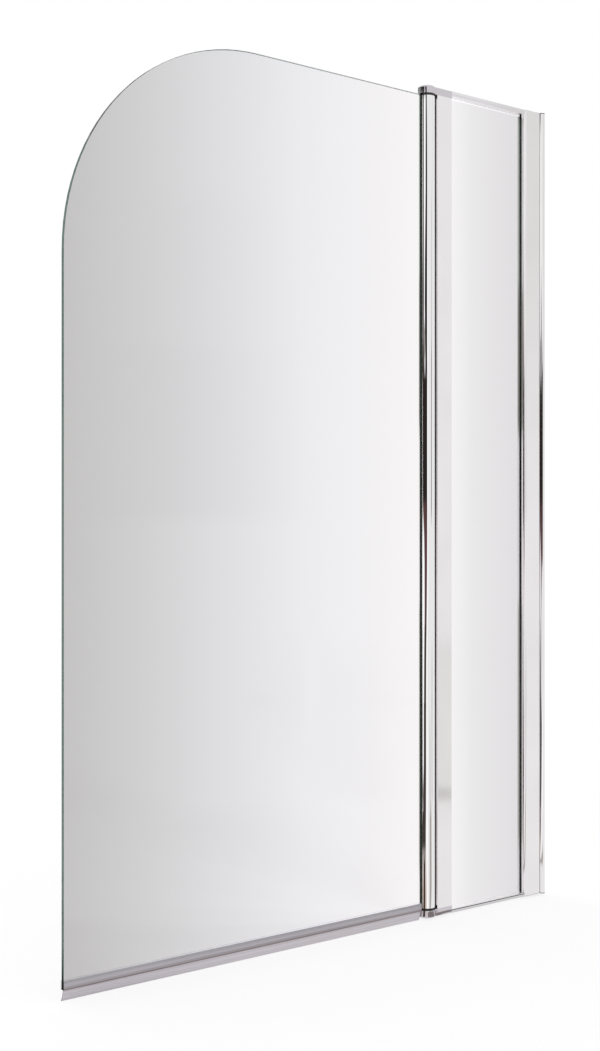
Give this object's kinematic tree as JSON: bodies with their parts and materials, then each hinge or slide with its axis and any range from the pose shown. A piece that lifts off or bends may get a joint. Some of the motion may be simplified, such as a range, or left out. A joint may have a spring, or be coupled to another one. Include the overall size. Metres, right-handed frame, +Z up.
{
  "type": "bath screen",
  "caption": "Clear glass bath screen with a rounded door pane on a round chrome hinge post, a framed fixed pane, a clear drip seal and a wall channel.",
  "frame": {"origin": "on the wall face of the wall channel, at half height, in the glass's middle plane", "axes": "+X along the screen towards the wall, +Y to the back of the screen (the side the fixing screws are on), +Z up"},
  "size_m": [1.0015, 0.0318, 1.439],
  "materials": {
    "bright_aluminium": "polished and bright plated extrusion",
    "chrome_plate": "polished plated casting",
    "clear_glass": "toughened float glass with polished green edges",
    "black_rubber": "matt black",
    "grey_rubber": "pale grey glazing rubber",
    "black_nylon": "moulded nylon",
    "grey_plastic": "bright plated moulding",
    "stainless_steel": "plain stainless steel",
    "clear_vinyl": "translucent flexible vinyl extrusion"
  },
  "bodies": {
    "wall": {"wall_channel": "bright_aluminium", "channel_cap_top": "black_nylon", "channel_cap_bottom": "black_nylon", "adjust_screws": "stainless_steel", "screw_covers": "grey_plastic"},
    "frame": {"wall_stile": "bright_aluminium", "wall_stile_cap_top": "grey_plastic", "wall_stile_cap_bottom": "grey_plastic", "hinge_stile": "bright_aluminium", "top_rail": "bright_aluminium", "bottom_rail": "bright_aluminium", "rail_screws": "stainless_steel", "fixed_glass": "clear_glass", "gasket_wall_side": "black_rubber", "gasket_hinge_side": "black_rubber", "gasket_top": "grey_rubber", "gasket_bottom": "grey_rubber", "hinge_cap_top": "chrome_plate", "hinge_cap_bottom": "chrome_plate", "cap_screws": "stainless_steel", "pivot_pins": "stainless_steel", "hinge_seal": "black_rubber"},
    "door": {"hinge_tube": "bright_aluminium", "tube_plug_top": "black_nylon", "tube_plug_bottom": "black_nylon", "bush_top": "black_nylon", "bush_bottom": "black_nylon", "door_gasket": "black_rubber", "door_glass": "clear_glass", "drip_seal": "clear_vinyl"}
  },
  "joints": [
    {"name": "width_adjust", "type": "slide", "parent": "wall", "child": "frame", "axis": [-1, 0, 0], "range_m": [0, 0.01]},
    {"name": "door_swing", "type": "hinge", "parent": "frame", "child": "door", "pos_m": [-0.2845, 0, 0], "axis": [0, 0, 1], "range_deg": [-90, 90]}
  ]
}
